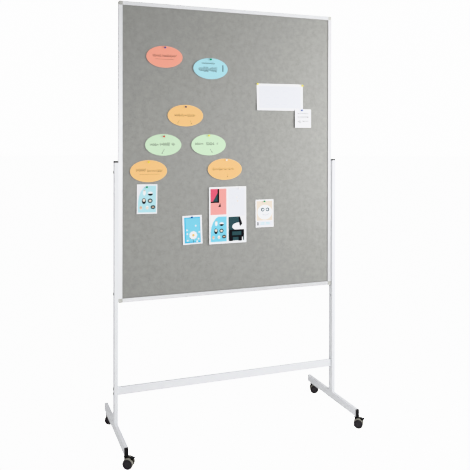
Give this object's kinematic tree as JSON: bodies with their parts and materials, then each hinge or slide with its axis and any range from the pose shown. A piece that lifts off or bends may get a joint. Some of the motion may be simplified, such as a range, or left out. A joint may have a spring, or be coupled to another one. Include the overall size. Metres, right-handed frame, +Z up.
{
  "type": "rolling pinboard and whiteboard",
  "caption": "Tall felt-faced presentation board with a writing back, in a slim aluminium frame between two white posts on T-shaped feet, rolling on braked swivel castors.",
  "frame": {"origin": "on the floor, midway between the two posts and in their centre plane", "axes": "+X along the board towards the right as seen from the felt side, +Y from the felt side to the writing side, +Z up"},
  "size_m": [1.2835, 0.5532, 2.195],
  "materials": {
    "white_steel": "satin white powder coat",
    "silver_rail": "fine matt anodised",
    "corner_grey": "fine moulded grain",
    "cap_grey": "fine moulded grain",
    "plug_black": "fine moulded grain",
    "felt_grey": "needled felt",
    "fibre_core": "soft fibre board",
    "white_enamel": "gloss enamel writing face",
    "zinc_steel": "bright zinc plate",
    "castor_black": "glass-filled nylon",
    "hub_dark": "moulded nylon",
    "tread_grey": "soft grey tread",
    "card_coral": "matt card stock",
    "card_blue": "matt card stock",
    "card_orange": "matt card stock",
    "card_green": "matt card stock",
    "paper_white": "uncoated paper",
    "pin_colours": "glossy moulded heads in several colours"
  },
  "bodies": {
    "stand": {"post_left": "white_steel", "post_right": "white_steel", "post_caps": "cap_grey", "foot_left": "white_steel", "foot_right": "white_steel", "foot_end_plugs": "plug_black", "crossbar": "white_steel", "crossbar_inserts": "zinc_steel", "crossbar_bolts": "zinc_steel", "post_inserts": "zinc_steel", "foot_bolts": "zinc_steel", "board_bolts": "zinc_steel", "slot_nuts": "zinc_steel", "castor_sockets": "zinc_steel", "castor_front_left_stem": "zinc_steel", "castor_front_right_stem": "zinc_steel", "castor_rear_left_stem": "zinc_steel", "castor_rear_right_stem": "zinc_steel"},
    "board": {"rail_top": "silver_rail", "rail_bottom": "silver_rail", "rail_left": "silver_rail", "rail_right": "silver_rail", "frame_corners": "corner_grey", "felt_panel": "felt_grey", "board_core": "fibre_core", "writing_sheet": "white_enamel", "oval_card_coral": "card_coral", "oval_card_blue": "card_blue", "oval_cards_orange": "card_orange", "oval_cards_green": "card_green", "paper_sheets": "paper_white", "push_pins": "pin_colours"},
    "castor_front_left": {"castor_front_left_hood": "castor_black", "castor_front_left_axle": "zinc_steel"},
    "wheel_front_left_a": {"castor_front_left_hub_a": "hub_dark", "castor_front_left_tyre_a": "tread_grey"},
    "wheel_front_left_b": {"castor_front_left_hub_b": "hub_dark", "castor_front_left_tyre_b": "tread_grey"},
    "pedal_front_left": {"castor_front_left_brake_pedal": "castor_black"},
    "castor_front_right": {"castor_front_right_hood": "castor_black", "castor_front_right_axle": "zinc_steel"},
    "wheel_front_right_a": {"castor_front_right_hub_a": "hub_dark", "castor_front_right_tyre_a": "tread_grey"},
    "wheel_front_right_b": {"castor_front_right_hub_b": "hub_dark", "castor_front_right_tyre_b": "tread_grey"},
    "pedal_front_right": {"castor_front_right_brake_pedal": "castor_black"},
    "castor_rear_left": {"castor_rear_left_hood": "castor_black", "castor_rear_left_axle": "zinc_steel"},
    "wheel_rear_left_a": {"castor_rear_left_hub_a": "hub_dark", "castor_rear_left_tyre_a": "tread_grey"},
    "wheel_rear_left_b": {"castor_rear_left_hub_b": "hub_dark", "castor_rear_left_tyre_b": "tread_grey"},
    "castor_rear_right": {"castor_rear_right_hood": "castor_black", "castor_rear_right_axle": "zinc_steel"},
    "wheel_rear_right_a": {"castor_rear_right_hub_a": "hub_dark", "castor_rear_right_tyre_a": "tread_grey"},
    "wheel_rear_right_b": {"castor_rear_right_hub_b": "hub_dark", "castor_rear_right_tyre_b": "tread_grey"}
  },
  "joints": [
    {"name": "board_height", "type": "slide", "parent": "stand", "child": "board", "axis": [0, 0, 1], "range_m": [-0.105, 0]},
    {"name": "castor_front_left_swivel", "type": "hinge", "parent": "stand", "child": "castor_front_left", "pos_m": [-0.61, -0.248, 0.0545], "axis": [0, 0, 1], "continuous": true},
    {"name": "wheel_front_left_a_spin", "type": "hinge", "parent": "castor_front_left", "child": "wheel_front_left_a", "pos_m": [-0.59788, -0.255, 0.025], "axis": [0.5, 0.866, 0], "continuous": true},
    {"name": "wheel_front_left_b_spin", "type": "hinge", "parent": "castor_front_left", "child": "wheel_front_left_b", "pos_m": [-0.59788, -0.255, 0.025], "axis": [0.5, 0.866, 0], "continuous": true},
    {"name": "brake_front_left", "type": "hinge", "parent": "castor_front_left", "child": "pedal_front_left", "pos_m": [-0.58748, -0.261, 0.0415], "axis": [0.5, 0.866, 0], "range_deg": [0, 18]},
    {"name": "castor_front_right_swivel", "type": "hinge", "parent": "stand", "child": "castor_front_right", "pos_m": [0.61, -0.248, 0.0545], "axis": [0, 0, 1], "continuous": true},
    {"name": "wheel_front_right_a_spin", "type": "hinge", "parent": "castor_front_right", "child": "wheel_front_right_a", "pos_m": [0.62103, -0.25662, 0.025], "axis": [0.6157, 0.788, 0], "continuous": true},
    {"name": "wheel_front_right_b_spin", "type": "hinge", "parent": "castor_front_right", "child": "wheel_front_right_b", "pos_m": [0.62103, -0.25662, 0.025], "axis": [0.6157, 0.788, 0], "continuous": true},
    {"name": "brake_front_right", "type": "hinge", "parent": "castor_front_right", "child": "pedal_front_right", "pos_m": [0.63049, -0.26401, 0.0415], "axis": [0.6157, 0.788, 0], "range_deg": [0, 18]},
    {"name": "castor_rear_left_swivel", "type": "hinge", "parent": "stand", "child": "castor_rear_left", "pos_m": [-0.61, 0.234, 0.0545], "axis": [0, 0, 1], "continuous": true},
    {"name": "wheel_rear_left_a_spin", "type": "hinge", "parent": "castor_rear_left", "child": "wheel_rear_left_a", "pos_m": [-0.59684, 0.22921, 0.025], "axis": [0.342, 0.9397, 0], "continuous": true},
    {"name": "wheel_rear_left_b_spin", "type": "hinge", "parent": "castor_rear_left", "child": "wheel_rear_left_b", "pos_m": [-0.59684, 0.22921, 0.025], "axis": [0.342, 0.9397, 0], "continuous": true},
    {"name": "castor_rear_right_swivel", "type": "hinge", "parent": "stand", "child": "castor_rear_right", "pos_m": [0.61, 0.234, 0.0545], "axis": [0, 0, 1], "continuous": true},
    {"name": "wheel_rear_right_a_spin", "type": "hinge", "parent": "castor_rear_right", "child": "wheel_rear_right_a", "pos_m": [0.62298, 0.22876, 0.025], "axis": [0.3746, 0.9272, 0], "continuous": true},
    {"name": "wheel_rear_right_b_spin", "type": "hinge", "parent": "castor_rear_right", "child": "wheel_rear_right_b", "pos_m": [0.62298, 0.22876, 0.025], "axis": [0.3746, 0.9272, 0], "continuous": true}
  ]
}
